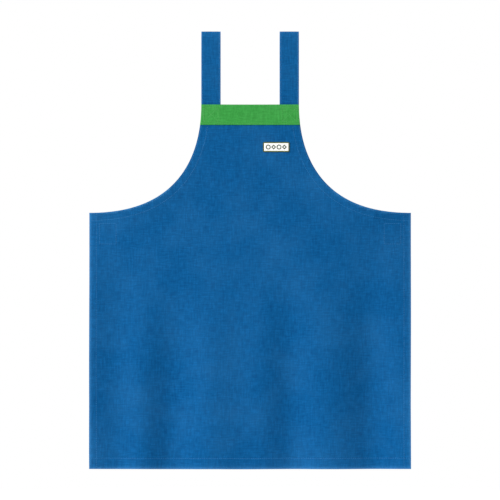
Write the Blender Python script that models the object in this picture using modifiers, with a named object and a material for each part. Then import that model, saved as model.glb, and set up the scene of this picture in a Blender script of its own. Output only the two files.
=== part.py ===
"""Welding apron: a one-piece bib panel, hung from two shoulder straps that run down to a waist belt.

Metres, +Z up. The front faces -Y and +X is on the viewer's right. The origin is the middle of the
top line of the rail on which the two shoulder straps hang, so the whole apron lies below it.
"""

import math

import bmesh
import bpy
from mathutils import Matrix, Vector

# Body
SKIRT_WIDTH = 0.800
BODY_HEIGHT = 0.9065  # bib top to hem
BIB_TOP_WIDTH = 0.243
ARMHOLE_DEPTH = 0.2695
ARMHOLE_HANDLES = (0.47, 0.80)  # share of the depth and of the width that each Bezier handle spans
CLOTH = 0.0012
SIDE_HEM = 0.020
BOTTOM_HEM = 0.030

# Trim
TRIM_CLOTH = 0.0010
BAND_HEIGHT = 0.050
FACING_WIDTH = 0.022
LABEL_SIZE = (0.0608, 0.0194)
LABEL_BORDER = 0.0025
LABEL_EDGE_THICK = 0.0013
LABEL_PLACE = (0.0650, 0.1057)  # to the right of the middle, and below the bib top

# Shoulder straps
STRAP_DROP = 0.1805  # rail top to bib top
STRAP_THICK = 0.0020
STRAP_WIDTH = 0.048
STRAP_SEWN = 0.046  # strap end behind the bib
RAIL_RADIUS = 0.020  # the rail that the fold of each strap fits
ARCH_STEPS = 13  # odd, so that one facet of the fold lies level on the rail
STRAP_TAIL = 0.160  # belt to the free end that comes up behind the strap

# Waist belt
BELT_BELOW_CORNER = 0.052  # waist corner to the middle of the belt
WEBBING = 0.0016
WEBBING_WIDTH = 0.038
BELT_TAIL = 0.150  # doubled back from the left ring
SEWN_TAIL = 0.030  # doubled back and sewn at the other folds
BELT_BEND = 0.142  # from the middle to where the belt leaves the wearer's back
PATCH = (0.330, 0.3785, 0.058)  # inner edge, outer edge, height
TAB_LENGTH = 0.033

# Metal fittings
WIRE_RADIUS = 0.0020
RING_INSIDE = (0.012, 0.040)  # between the upright bars, and the height for the webbing
RING_CORNER = 0.004
RING_PANEL_BAR = 0.362
EYE_BELT_BAR = 0.176
HOOK_PLATE = 0.0020
HOOK_STRIP = 0.0016
HOOK_HEIGHT = 0.030
HOOK_BASE = (0.019, 0.050)
HOOK_SLOT = (0.011, 0.0396)
HOOK_BEHIND = 0.0006  # from the eye's bar to the strip behind it
HOOK_BESIDE = 0.0022  # from the eye's bar to the bill beside it
HOOK_BILL = 0.0050
HOOK_LENGTH = 0.034  # from the eye's bar to the bar in the belt's fold
HOOK_BAR = 0.004
SLIDER_LENGTH = 0.028
SLIDER_WALL = 0.0022
SLIDER_RAIL = 0.0046
SLIDER_BAR = 0.0070
SLIDER_WINDOW = 0.0168
STRAP_SLIDER_ABOVE = 0.100  # belt to slider
BELT_SLIDER_ALONG = 0.090  # left ring to slider

# Clearances
GAP = 0.0003  # between pieces that touch
FOLD_SPACE = 0.0004  # between a bar and the webbing round it
BELT_SPACE = 0.0016  # between the belt and the strap on each side of it
OVER = 0.002  # how far a cutter passes the wall it cuts

# Derived places
BIB_TOP = -STRAP_DROP
HEM = BIB_TOP - BODY_HEIGHT
CORNER = BIB_TOP - ARMHOLE_DEPTH
BELT_Z = CORNER - BELT_BELOW_CORNER
HALF_SKIRT = SKIRT_WIDTH / 2
HALF_BIB = BIB_TOP_WIDTH / 2
STRAP_X = HALF_BIB - STRAP_WIDTH / 2
STRAP_RUN = RAIL_RADIUS + STRAP_THICK / 2  # middle of the strap, before and behind the rail

PANEL_BACK = -RAIL_RADIUS - STRAP_THICK - GAP
PANEL_MIDDLE = PANEL_BACK - CLOTH / 2
FRONT_TRIM = PANEL_BACK - CLOTH - GAP  # back face of what is sewn to the front
BACK_TRIM = PANEL_BACK + GAP  # front face of what is sewn to the back

FOLD_RADIUS = WIRE_RADIUS + FOLD_SPACE + WEBBING / 2
LAYER = (WEBBING + GAP) / 2  # from the middle of two layers to the middle of one
BAR_STEP = RING_INSIDE[0] + 2 * WIRE_RADIUS
RING_Y = BACK_TRIM + TRIM_CLOTH + GAP + WEBBING / 2 + FOLD_RADIUS
RING_BELT_BAR = RING_PANEL_BAR - BAR_STEP
BELT_Y = RAIL_RADIUS + STRAP_THICK + BELT_SPACE + WEBBING / 2
EYE_Y = BELT_Y + LAYER
EYE_HOOK_BAR = EYE_BELT_BAR + BAR_STEP
HOOK_Y = EYE_Y + WIRE_RADIUS + HOOK_BEHIND + HOOK_STRIP / 2
HOOK_BELT_BAR = EYE_HOOK_BAR + HOOK_LENGTH

FINISHES = {
    "blue_cloth": ((0.004, 0.109, 0.323), 0.85, 0.0),
    "green_cloth": ((0.056, 0.356, 0.067), 0.85, 0.0),
    "label_white": ((0.830, 0.830, 0.780), 0.60, 0.0),
    "label_edge": ((0.110, 0.150, 0.050), 0.70, 0.0),
    "webbing": ((0.006, 0.070, 0.210), 0.75, 0.0),
    "steel": ((0.550, 0.560, 0.580), 0.30, 1.0),
}
SIDES = ((-1, "left"), (1, "right"))


def clear_scene():
    for thing in list(bpy.data.objects):
        bpy.data.objects.remove(thing, do_unlink=True)


def make_collection(name):
    collection = bpy.data.collections.new(name)
    bpy.context.scene.collection.children.link(collection)
    return collection


def make_finishes():
    made = {}
    for name, (colour, roughness, metallic) in FINISHES.items():
        made[name] = bpy.data.materials.new(name)
        made[name].use_nodes = True
        shader = made[name].node_tree.nodes["Principled BSDF"]
        shader.inputs["Base Color"].default_value = (*colour, 1.0)
        shader.inputs["Roughness"].default_value = roughness
        shader.inputs["Metallic"].default_value = metallic
    return made


def add(name, data, finish, place=(0, 0, 0)):
    """A new object of the apron."""
    data.materials.append(finishes[finish])
    thing = bpy.data.objects.new(name, data)
    apron.objects.link(thing)
    thing.location = place
    return thing


def block(name, size, place, finish="steel"):
    """A box, with its size in the mesh and its place in the object."""
    mesh = bpy.data.meshes.new(name)
    shape = bmesh.new()
    bmesh.ops.create_cube(shape, size=1, matrix=Matrix.Diagonal((*size, 1)))
    shape.to_mesh(mesh)
    shape.free()
    return add(name, mesh, finish, place)


def flat_piece(name, outlines, thick, middle, finish):
    """Outlines in X and Z, the first the edge and the others holes, made thick about the plane y = middle."""
    curve = bpy.data.curves.new(name, "CURVE")
    curve.dimensions = "2D"
    curve.fill_mode = "BOTH"
    curve.extrude = thick / 2
    for outline in outlines:
        spline = curve.splines.new("POLY")
        spline.points.add(len(outline) - 1)
        for point, (x, z) in zip(spline.points, outline):
            point.co = (x, z, 0, 1)
        spline.use_cyclic_u = True
    thing = add(name, curve, finish, (0, middle, 0))
    thing.rotation_euler.x = math.pi / 2
    return thing


def rectangle(middle_x, middle_z, width, height):
    left, right = middle_x - width / 2, middle_x + width / 2
    low, high = middle_z - height / 2, middle_z + height / 2
    return [(left, low), (right, low), (right, high), (left, high)]


def ribbon(name, path, across, width, thick, finish):
    """A band that follows a path of points, its width along across, solidified to its thickness."""
    half = Vector(across) * (width / 2)
    shape = bmesh.new()
    rows = [(shape.verts.new(Vector(p) - half), shape.verts.new(Vector(p) + half)) for p in path]
    for (a, b), (c, d) in zip(rows, rows[1:]):
        shape.faces.new((a, b, d, c))
    mesh = bpy.data.meshes.new(name)
    shape.to_mesh(mesh)
    shape.free()
    thing = add(name, mesh, finish)
    solid = thing.modifiers.new("thickness", "SOLIDIFY")
    solid.thickness = thick
    solid.offset = 0
    solid.use_even_offset = True
    return thing


def arc(middle, radius, start, end, steps):
    """Points round a middle in a plane, from one angle in degrees to another."""
    angles = [math.radians(start + (end - start) * i / steps) for i in range(steps + 1)]
    return [(middle[0] + radius * math.cos(a), middle[1] + radius * math.sin(a)) for a in angles]


def boolean(thing, others, operation):
    """One Boolean for each of the other objects, which become helpers."""
    for other in others:
        step = thing.modifiers.new(other.name, "BOOLEAN")
        step.operation = operation
        step.object = other
        step.solver = "EXACT"
        other.hide_render = True
        other.display_type = "WIRE"
        apron.objects.unlink(other)
        helpers.objects.link(other)


def as_mesh(thing):
    """A mesh object in place of a curve object, with its caps welded."""
    bpy.context.view_layer.update()
    graph = bpy.context.evaluated_depsgraph_get()
    mesh = bpy.data.meshes.new_from_object(thing.evaluated_get(graph))
    shape = bmesh.new()
    shape.from_mesh(mesh)
    bmesh.ops.remove_doubles(shape, verts=shape.verts, dist=1e-5)
    shape.to_mesh(mesh)
    shape.free()
    name, place = thing.name, thing.matrix_world.copy()
    bpy.data.objects.remove(thing)
    made = bpy.data.objects.new(name, mesh)
    apron.objects.link(made)
    made.matrix_world = place
    return made


def carry(name, place, things):
    """An empty on a joint's axis that carries things where they stand."""
    axis = bpy.data.objects.new(name, None)
    apron.objects.link(axis)
    axis.location = place
    bpy.context.view_layer.update()
    for thing in things:
        thing.parent = axis
        thing.matrix_parent_inverse = axis.matrix_world.inverted()


def armhole_point(side, share):
    """A point in X and Z of the curved edge, from the bib top at 0 to the waist corner at 1."""
    down, across = ARMHOLE_HANDLES
    places = (
        Vector((HALF_BIB, BIB_TOP)),
        Vector((HALF_BIB, BIB_TOP - down * ARMHOLE_DEPTH)),
        Vector((HALF_SKIRT - across * (HALF_SKIRT - HALF_BIB), CORNER)),
        Vector((HALF_SKIRT, CORNER)),
    )
    rest = 1 - share
    weights = (rest**3, 3 * rest**2 * share, 3 * rest * share**2, share**3)
    point = sum((weight * place for weight, place in zip(weights, places)), Vector((0, 0)))
    return Vector((side * point.x, point.y))


def armhole(side, first, last, steps):
    return [armhole_point(side, first + (last - first) * i / steps) for i in range(steps + 1)]


def share_at(drop):
    """The share of the armhole's curve at a depth below the bib top, by halving."""
    low, high = 0.0, 1.0
    for _ in range(30):
        middle = (low + high) / 2
        if armhole_point(1, middle).y > BIB_TOP - drop:
            low = middle
        else:
            high = middle
    return low


def beside(points, side, distance):
    """The points of an armhole's curve, moved onto the cloth by a distance."""
    moved = []
    for i, point in enumerate(points):
        along = (points[min(i + 1, len(points) - 1)] - points[max(i - 1, 0)]).normalized()
        moved.append(point + side * distance * Vector((along.y, -along.x)))
    return moved


def turned_hem(name, middle, low, width, height, reach):
    """A fold of the body's cloth that reaches from the middle of the cloth to behind it."""
    place = (middle, PANEL_MIDDLE + reach / 2, low + height / 2)
    return block(name, (width, reach, height), place, "blue_cloth")


def apron_panel():
    """The body, cut in one piece, with its side and bottom hems turned to the back."""
    edge = armhole(1, 0, 1, 22)
    mirrored = [(-x, z) for x, z in reversed(edge)]
    outline = [*edge, (HALF_SKIRT, HEM), (-HALF_SKIRT, HEM), *mirrored]
    panel = as_mesh(flat_piece("apron_panel", [outline], CLOTH, PANEL_MIDDLE, "blue_cloth"))
    side_top = CORNER - FACING_WIDTH - 2 * GAP
    hems = [turned_hem("bottom_hem", 0, HEM + GAP, SKIRT_WIDTH - 2 * GAP, BOTTOM_HEM, 1.5 * CLOTH)]
    for side, word in SIDES:
        middle = side * (HALF_SKIRT - 2 * GAP - SIDE_HEM / 2)
        low = HEM + 2 * GAP
        hems.append(turned_hem(f"side_hem_{word}", middle, low, SIDE_HEM, side_top - low, 1.45 * CLOTH))
    boolean(panel, hems, "UNION")


def armhole_facings():
    """A curved strip along each armhole, on the back, from below the strap end to the waist corner."""
    start = share_at(BAND_HEIGHT)
    for side, word in SIDES:
        outer = armhole(side, start, 1, 16)
        inner = beside(outer, side, FACING_WIDTH)
        middle = BACK_TRIM + TRIM_CLOTH / 2
        flat_piece(f"armhole_facing_{word}", [outer + inner[::-1]], TRIM_CLOTH, middle, "blue_cloth")


def bib_band():
    """The band across the bib's front, and its turned-over half behind the strap ends."""
    edge = armhole(1, 0, share_at(BAND_HEIGHT), 4)
    outline = edge + [(-x, z) for x, z in reversed(edge)]
    flat_piece("bib_band", [outline], TRIM_CLOTH, FRONT_TRIM - TRIM_CLOTH / 2, "green_cloth")
    behind = -RAIL_RADIUS + GAP + TRIM_CLOTH / 2
    flat_piece("bib_facing", [outline], TRIM_CLOTH, behind, "green_cloth")


def name_label():
    """The woven label and its overlocked edge, on the bib's front."""
    x, z = LABEL_PLACE[0], BIB_TOP - LABEL_PLACE[1]
    width, height = LABEL_SIZE
    face = rectangle(x, z, width, height)
    flat_piece("name_label", [face], TRIM_CLOTH, FRONT_TRIM - TRIM_CLOTH / 2, "label_white")
    inner = rectangle(x, z, width + 2 * GAP, height + 2 * GAP)
    grow = 2 * (GAP + LABEL_BORDER)
    outer = rectangle(x, z, width + grow, height + grow)
    middle = FRONT_TRIM - LABEL_EDGE_THICK / 2
    flat_piece("label_border", [outer, inner], LABEL_EDGE_THICK, middle, "label_edge")


def shoulder_strap(side, word):
    """From behind the bib over the rail, down the back, round under the belt, and up again as a tail."""
    arch_middle = STRAP_THICK / 2 - STRAP_RUN * math.cos(math.pi / 2 / ARCH_STEPS)
    loop_back = BELT_Y + WEBBING / 2 + BELT_SPACE + STRAP_THICK / 2
    loop_radius = (loop_back - STRAP_RUN) / 2
    loop_low = BELT_Z - WEBBING_WIDTH / 2 - BELT_SPACE
    loop_high = BELT_Z + WEBBING_WIDTH / 2 + BELT_SPACE
    tail = STRAP_RUN + STRAP_THICK + GAP
    path = [(-STRAP_RUN, BIB_TOP - STRAP_SEWN)]
    path += arc((0, arch_middle), STRAP_RUN, 180, 0, ARCH_STEPS)
    path += arc((STRAP_RUN + loop_radius, loop_low), loop_radius, 180, 360, 6)
    path += [(loop_back, loop_high), (tail, loop_high + 6 * STRAP_THICK), (tail, BELT_Z + STRAP_TAIL)]
    points = [(side * STRAP_X, y, z) for y, z in path]
    ribbon(f"shoulder_strap_{word}", points, (1, 0, 0), STRAP_WIDTH, STRAP_THICK, "blue_cloth")


def slider(name, width, front, stack, place, turn):
    """A three-bar slide. In its own frame a double band, stack thick, rises along Z from y = front."""
    opening = width + 4 * GAP
    near, far = front - GAP, front + stack + GAP
    middle = (near + far) / 2
    deep = far - near + 2 * SLIDER_WALL
    body = block(name, (opening + 2 * SLIDER_RAIL, deep, SLIDER_LENGTH), (0, middle, 0))
    edges = body.modifiers.new("edges", "BEVEL")
    edges.width = SLIDER_WALL / 4
    edges.segments = 2
    channel = (opening, far - near, SLIDER_LENGTH + 2 * OVER)
    cutters = [block(f"{name}_channel", channel, (0, middle, 0))]
    reach = 2 * SLIDER_WALL
    window = (SLIDER_LENGTH - SLIDER_BAR) / 2 + OVER
    for end in (-1, 1):
        spot = (0, near - reach / 2 + GAP, end * (SLIDER_BAR + window) / 2)
        cutters.append(block(f"{name}_window", (opening, reach, window), spot))
    spot = (0, far + reach / 2 - GAP, 0)
    cutters.append(block(f"{name}_window", (opening, reach, SLIDER_WINDOW), spot))
    boolean(body, cutters, "DIFFERENCE")
    axis = bpy.data.objects.new(f"{name}_axis", None)
    apron.objects.link(axis)
    axis.location = place
    axis.rotation_euler = turn
    for thing in (body, *cutters):
        thing.parent = axis


def ring(name, first_bar, second_bar, y):
    """A rectangular wire ring in the XZ plane, with its origin on its first upright bar."""
    wide = abs(second_bar - first_bar) / 2 - RING_CORNER
    tall = RING_INSIDE[1] / 2 + WIRE_RADIUS - RING_CORNER
    middle = (second_bar - first_bar) / 2
    path = []
    for i, (x, z) in enumerate(((1, 1), (-1, 1), (-1, -1), (1, -1))):
        path += arc((middle + x * wide, z * tall), RING_CORNER, 90 * i, 90 * i + 90, 4)
    curve = bpy.data.curves.new(name, "CURVE")
    curve.dimensions = "3D"
    curve.bevel_depth = WIRE_RADIUS
    curve.bevel_resolution = 2
    spline = curve.splines.new("POLY")
    spline.points.add(len(path) - 1)
    for point, (x, z) in zip(spline.points, path):
        point.co = (x, 0, z, 1)
    spline.use_cyclic_u = True
    add(name, curve, "steel", (first_bar, y, BELT_Z))


def fold(bar, toward, low, high):
    """Webbing round a bar, in plan: along one layer to the bar, round it, and back along the other.

    low and high are the two layers, to the right and left of toward. Each is the layer's offset from
    the bar, the angle at which it leaves the bar, and its length.
    """
    bar, toward = Vector(bar), Vector(toward).normalized()
    across = Vector((-toward.y, toward.x))
    ends = []
    for sign, (offset, angle, length) in ((-1, low), (1, high)):
        turn = math.radians(angle)
        height = FOLD_RADIUS * math.sin(turn) - sign * offset
        leave = FOLD_RADIUS * math.cos(turn) + height * math.tan(turn)
        ends.append([bar + toward * u + across * offset for u in (length, leave)])
    around = arc((0, 0), FOLD_RADIUS, -low[1], high[1] - 360, 8)
    round_bar = [bar + toward * u + across * v for u, v in around]
    return ends[0] + round_bar + ends[1][::-1]


def webbing(name, path):
    """A strip of webbing that stands upright along a path in plan, at the belt's height."""
    points = [(x, y, BELT_Z) for x, y in path]
    return ribbon(name, points, (0, 0, 1), WEBBING_WIDTH, WEBBING, "webbing")


def waist_fittings():
    """On each side of the skirt: a patch, a folded tab and the ring that it holds."""
    inner, outer, height = PATCH
    tab_front = GAP / 3 - FOLD_RADIUS  # the tab's layers, from the bar
    tab_back = tab_front + 2 * LAYER
    for side, word in SIDES:
        outline = rectangle(side * (inner + outer) / 2, BELT_Z, outer - inner, height)
        flat_piece(f"waist_patch_{word}", [outline], TRIM_CLOTH, BACK_TRIM + TRIM_CLOTH / 2, "blue_cloth")
        front = (side * tab_front, 80, TAB_LENGTH)
        back = (side * tab_back, 50, TAB_LENGTH)
        layers = (front, back) if side > 0 else (back, front)
        webbing(f"waist_tab_{word}", fold((side * RING_PANEL_BAR, RING_Y), (side, 0), *layers))
        ring(f"waist_ring_{word}", side * RING_PANEL_BAR, side * RING_BELT_BAR, RING_Y)


def belt_direction():
    """Where the belt heads, in plan, from the left ring."""
    return (Vector((-BELT_BEND, BELT_Y)) - Vector((-RING_BELT_BAR, RING_Y))).normalized()


def belt_main():
    """The long belt: its tail, the left ring, the straight run through both straps, and the eye's fold."""
    direction = belt_direction()
    bar = Vector((-RING_BELT_BAR, RING_Y))
    along = (BELT_Y - bar.y + LAYER * direction.x) / direction.y
    left = fold(bar, direction, (-LAYER, 60, along), (LAYER, 60, BELT_TAIL))
    right = fold((EYE_BELT_BAR, EYE_Y), (-1, 0), (-LAYER, 60, SEWN_TAIL), (LAYER, 60, SEWN_TAIL))
    webbing("belt_main", left[::-1] + right[::-1][1:])
    across = Vector((-direction.y, direction.x))
    turn = Matrix(((0, across.x, direction.x), (0, across.y, direction.y), (-1, 0, 0))).to_euler()
    place = (*(bar + BELT_SLIDER_ALONG * direction), BELT_Z)
    front = -LAYER - WEBBING / 2
    slider("belt_slider", WEBBING_WIDTH, front, 2 * (LAYER + WEBBING / 2), place, turn)


def belt_hook():
    """A plate with a slot for the webbing, and a strip bent into a hook round the eye's bar."""
    slot_long, slot_high = HOOK_SLOT
    slot_middle = HOOK_BELT_BAR - (HOOK_BAR + slot_long) / 2
    base_long, base_high = HOOK_BASE
    base_middle = HOOK_BELT_BAR + HOOK_BAR / 2 - base_long / 2
    plate = flat_piece("hook_plate", [rectangle(base_middle, BELT_Z, base_long, base_high),
                                      rectangle(slot_middle, BELT_Z, slot_long, slot_high)],
                       HOOK_PLATE, HOOK_Y, "steel")
    bill = EYE_HOOK_BAR - WIRE_RADIUS - HOOK_BESIDE - HOOK_STRIP / 2
    bend = HOOK_STRIP
    path = [(base_middle - base_long / 2 + HOOK_BAR / 2, HOOK_Y)]
    path += arc((bill + bend, HOOK_Y - bend), bend, 90, 180, 3)
    path += [(bill, HOOK_Y - HOOK_STRIP / 2 - HOOK_BILL)]
    points = [(x, y, BELT_Z) for x, y in path]
    hook = ribbon("belt_hook", points, (0, 0, 1), HOOK_HEIGHT, HOOK_STRIP, "steel")
    boolean(hook, [as_mesh(plate)], "UNION")
    return hook


def belt_short():
    """The short belt between the hook and the right ring, folded and sewn at both ends."""
    hook_bar, ring_bar = Vector((HOOK_BELT_BAR, HOOK_Y)), Vector((RING_BELT_BAR, RING_Y))
    direction = (ring_bar - hook_bar).normalized()
    tail = (LAYER, 60, SEWN_TAIL)
    ring_tail = (-LAYER, 60, SEWN_TAIL)
    middle = (ring_bar - hook_bar).length / 2
    hook_end = fold(hook_bar, direction, (-LAYER, 60, middle), tail)
    ring_end = fold(ring_bar, -direction, ring_tail, (LAYER, 60, middle))
    return webbing("belt_short", hook_end[::-1] + ring_end[::-1][1:])


def waist_belt():
    belt_main()
    ring("eye_ring", EYE_BELT_BAR, EYE_HOOK_BAR, EYE_Y)
    carry("belt_short_axis", (RING_BELT_BAR, RING_Y, BELT_Z), (belt_hook(), belt_short()))


def shoulder_straps():
    for side, word in SIDES:
        shoulder_strap(side, word)
        place = (side * STRAP_X, 0, BELT_Z + STRAP_SLIDER_ABOVE)
        slider(f"strap_slider_{word}", STRAP_WIDTH, RAIL_RADIUS, 2 * STRAP_THICK + GAP, place, (0, 0, 0))


clear_scene()
apron = make_collection("welding_apron")
helpers = make_collection("helpers")
helpers.hide_render = True
finishes = make_finishes()
apron_panel()
armhole_facings()
bib_band()
name_label()
shoulder_straps()
waist_fittings()
waist_belt()
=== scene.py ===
import math

import bmesh
import bpy
import numpy as np
from mathutils import Matrix, Vector


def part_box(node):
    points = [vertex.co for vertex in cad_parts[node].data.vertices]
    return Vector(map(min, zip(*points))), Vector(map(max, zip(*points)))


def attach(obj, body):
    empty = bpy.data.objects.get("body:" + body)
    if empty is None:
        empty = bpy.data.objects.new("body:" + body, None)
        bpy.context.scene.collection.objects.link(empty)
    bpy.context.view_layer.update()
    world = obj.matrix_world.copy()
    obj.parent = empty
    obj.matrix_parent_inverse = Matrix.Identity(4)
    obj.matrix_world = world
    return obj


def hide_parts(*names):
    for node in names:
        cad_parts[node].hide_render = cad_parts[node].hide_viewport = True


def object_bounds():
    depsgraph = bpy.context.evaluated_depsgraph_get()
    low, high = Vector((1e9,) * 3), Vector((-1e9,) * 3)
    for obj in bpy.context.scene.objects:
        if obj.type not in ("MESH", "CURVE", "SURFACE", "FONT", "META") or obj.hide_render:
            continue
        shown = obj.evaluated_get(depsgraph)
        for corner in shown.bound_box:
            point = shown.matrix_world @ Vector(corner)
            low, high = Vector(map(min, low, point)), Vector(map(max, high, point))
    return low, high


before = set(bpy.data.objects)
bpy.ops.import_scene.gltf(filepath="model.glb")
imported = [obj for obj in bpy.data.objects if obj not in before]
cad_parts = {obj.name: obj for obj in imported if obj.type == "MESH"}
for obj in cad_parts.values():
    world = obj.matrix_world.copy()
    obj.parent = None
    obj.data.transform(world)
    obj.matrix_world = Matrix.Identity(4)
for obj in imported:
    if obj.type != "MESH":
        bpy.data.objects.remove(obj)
cadBox = [list(corner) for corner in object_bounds()]
sides = {"left": -1, "right": 1}

# places read from the frame, in metres
panelLow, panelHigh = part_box("apron_panel")
bandLow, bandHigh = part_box("bib_band")
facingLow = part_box("armhole_facing_right")[0]
strapLow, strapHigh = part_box("shoulder_strap_right")
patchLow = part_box("waist_patch_right")[0]
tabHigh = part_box("waist_tab_right")[1]
beltLow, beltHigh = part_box("belt_main")

body = {
    "thick": 0.0012,
    "halfSkirt": panelHigh.x,
    "hemZ": panelLow.z,
    "bibTop": bandHigh.z,
    "halfBib": strapHigh.x,
    "facingWidth": 0.022,
    "armholeHandles": (0.47, 0.80),  # how far the edge runs straight down, and straight across
    "sideHem": 0.020,
    "bottomHem": 0.030,
    "hemThick": 0.00125,
    "rounding": 0.00045,
    "cutArea": 0.609,  # square metres inside the finished outline
    "cell": 0.0070,
}
body["cornerZ"] = facingLow.z + body["facingWidth"]
body["middleY"] = panelLow.y + body["thick"] / 2
beltZ = (beltLow.z + beltHigh.z) / 2

hang = {
    "step": 0.0125,
    "border": 4,  # grid steps kept round the cloth, so that the drape is smooth at its edges
    "mostForward": 0.0115,
    "folds": (  # place across the skirt, half width, depth towards the back, lean, start below the belt
        (-0.312, 0.046, 0.030, -0.026, 0.02),
        (-0.188, 0.064, 0.043, -0.012, 0.04),
        (-0.028, 0.050, 0.026, 0.014, 0.12),
        (0.096, 0.056, 0.036, 0.004, 0.03),
        (0.282, 0.060, 0.040, 0.026, 0.00),
    ),
    "forward": 0.0125,  # how far the skirt stands out below the belt
    "curl": 0.007,  # how far its sides turn back
    "bibRoll": 0.0030,
    "bibHalf": 0.16,
    "strapHold": 0.050,  # below the bib's top
    "looseHold": 0.055,
    "looseShare": 0.25,
    "tabHold": 0.034,  # above and below the belt's middle
    "frames": 34,
    "smooth": 3,
    "cloth": {
        "quality": 8,
        "mass": 0.15,
        "tension_stiffness": 90,
        "compression_stiffness": 90,
        "shear_stiffness": 40,
        "bending_stiffness": 12,
        "tension_damping": 20,
        "compression_damping": 20,
        "shear_damping": 10,
        "bending_damping": 2,
        "air_damping": 3,
        "pin_stiffness": 1.0,
    },
}


def smoothStep(low, high, value):
    share = np.clip((value - low) / (high - low), 0, 1)
    return share * share * (3 - 2 * share)


def lengthsAlong(points):
    return np.concatenate([[0], np.cumsum(np.linalg.norm(np.diff(points, axis=0), axis=1))])


def only(kind, geom):
    return [g for g in geom if isinstance(g, kind)]


def meshFrom(bm, name):
    mesh = bpy.data.meshes.new(name)
    bm.to_mesh(mesh)
    bm.free()
    return mesh


def addObject(name, data):
    made = bpy.data.objects.new(name, data)
    bpy.context.scene.collection.objects.link(made)
    return made


# outlines, as points of X and Z
def armholePoint(share):
    down, across = body["armholeHandles"]
    top, corner = body["bibTop"], body["cornerZ"]
    inner, outer = body["halfBib"], body["halfSkirt"]
    xs = (inner, inner, outer - across * (outer - inner), outer)
    zs = (top, top + down * (corner - top), corner, corner)
    rest = 1 - share
    weights = (rest**3, 3 * rest**2 * share, 3 * rest * share**2, share**3)
    return Vector((sum(w * x for w, x in zip(weights, xs)), sum(w * z for w, z in zip(weights, zs))))


def armholeEdge(firstDrop=0.0, lastDrop=None, inset=0.0, count=72):
    drops = [body["bibTop"] - armholePoint(i / 400).y for i in range(401)]
    first = next(i for i, drop in enumerate(drops) if drop >= firstDrop - 1e-9)
    last = 400 if lastDrop is None else next(i for i, drop in enumerate(drops) if drop >= lastDrop)
    picked = []
    for i in range(count + 1):
        share = (first + (last - first) * i / count) / 400
        here, after = armholePoint(share), armholePoint(min(share + 1e-4, 1.0))
        before = armholePoint(max(share - 1e-4, 0.0))
        along = (after - before).normalized()
        picked.append(here + inset * Vector((along.y, -along.x)))
    return picked


def mirrored(points):
    return [Vector((-p.x, p.y)) for p in reversed(points)]


def rectangle(left, right, low, high):
    return [Vector((left, low)), Vector((right, low)), Vector((right, high)), Vector((left, high))]


def roundRectangle(left, right, low, high, radius, steps=5):
    points = []
    centres = ((right - radius, high - radius), (left + radius, high - radius))
    centres += ((left + radius, low + radius), (right - radius, low + radius))
    for quarter, (x, z) in enumerate(centres):
        for i in range(steps + 1):
            angle = math.pi / 2 * (quarter + i / steps)
            points.append(Vector((x + radius * math.cos(angle), z + radius * math.sin(angle))))
    return points


edgeTable = [armholePoint(i / 300) for i in range(301)]
edgeDrops, edgeWidths = [-p.y for p in edgeTable], [p.x for p in edgeTable]


def halfWidthAt(z):
    return np.interp(-z, edgeDrops, edgeWidths)


# The drape is how far each place of the flat cloth has moved. Here it starts with folds that the simulation settles.
def foldDepth(x, z):
    depth = np.zeros_like(x)
    for place, halfWidth, deep, lean, start in hang["folds"]:
        below = beltZ - start - z
        grow = smoothStep(-0.04, 0.50, below)
        centre = place + lean * np.clip(below, 0, 0.6) / 0.6
        wide = halfWidth * (0.75 + 0.35 * grow)
        depth += deep * grow * np.exp(-(((x - centre) / wide) ** 2))
    forward = hang["forward"] * smoothStep(-0.02, 0.35, beltZ - z)
    curl = hang["curl"] * smoothStep(0.34, 0.40, np.abs(x)) * smoothStep(beltZ - 0.06, beltZ - 0.40, z)
    roll = hang["bibRoll"] * np.cos(x / hang["bibHalf"] * math.pi) * smoothStep(body["bibTop"] - 0.06, -0.36, z)
    return depth - forward + curl - roll * smoothStep(beltZ + 0.01, beltZ + 0.10, z)


def simulationGrid():
    step, border = hang["step"], hang["border"]
    columns = int(round(2 * body["halfSkirt"] / step)) + 1 + 2 * border
    rows = int(math.ceil((body["bibTop"] - body["hemZ"]) / step)) + 1 + 2 * border
    xs = (np.arange(columns) - (columns - 1) / 2) * step
    zs = body["hemZ"] + (np.arange(rows) - border) * step
    return xs, zs


def insideCloth(x, z):
    if abs(x) > body["halfSkirt"] + 1e-6 or z < body["hemZ"] - 1e-6 or z > body["bibTop"] + hang["step"]:
        return False
    if z <= body["cornerZ"]:
        return True
    return abs(x) <= halfWidthAt(z) + hang["step"] * 0.6


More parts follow.
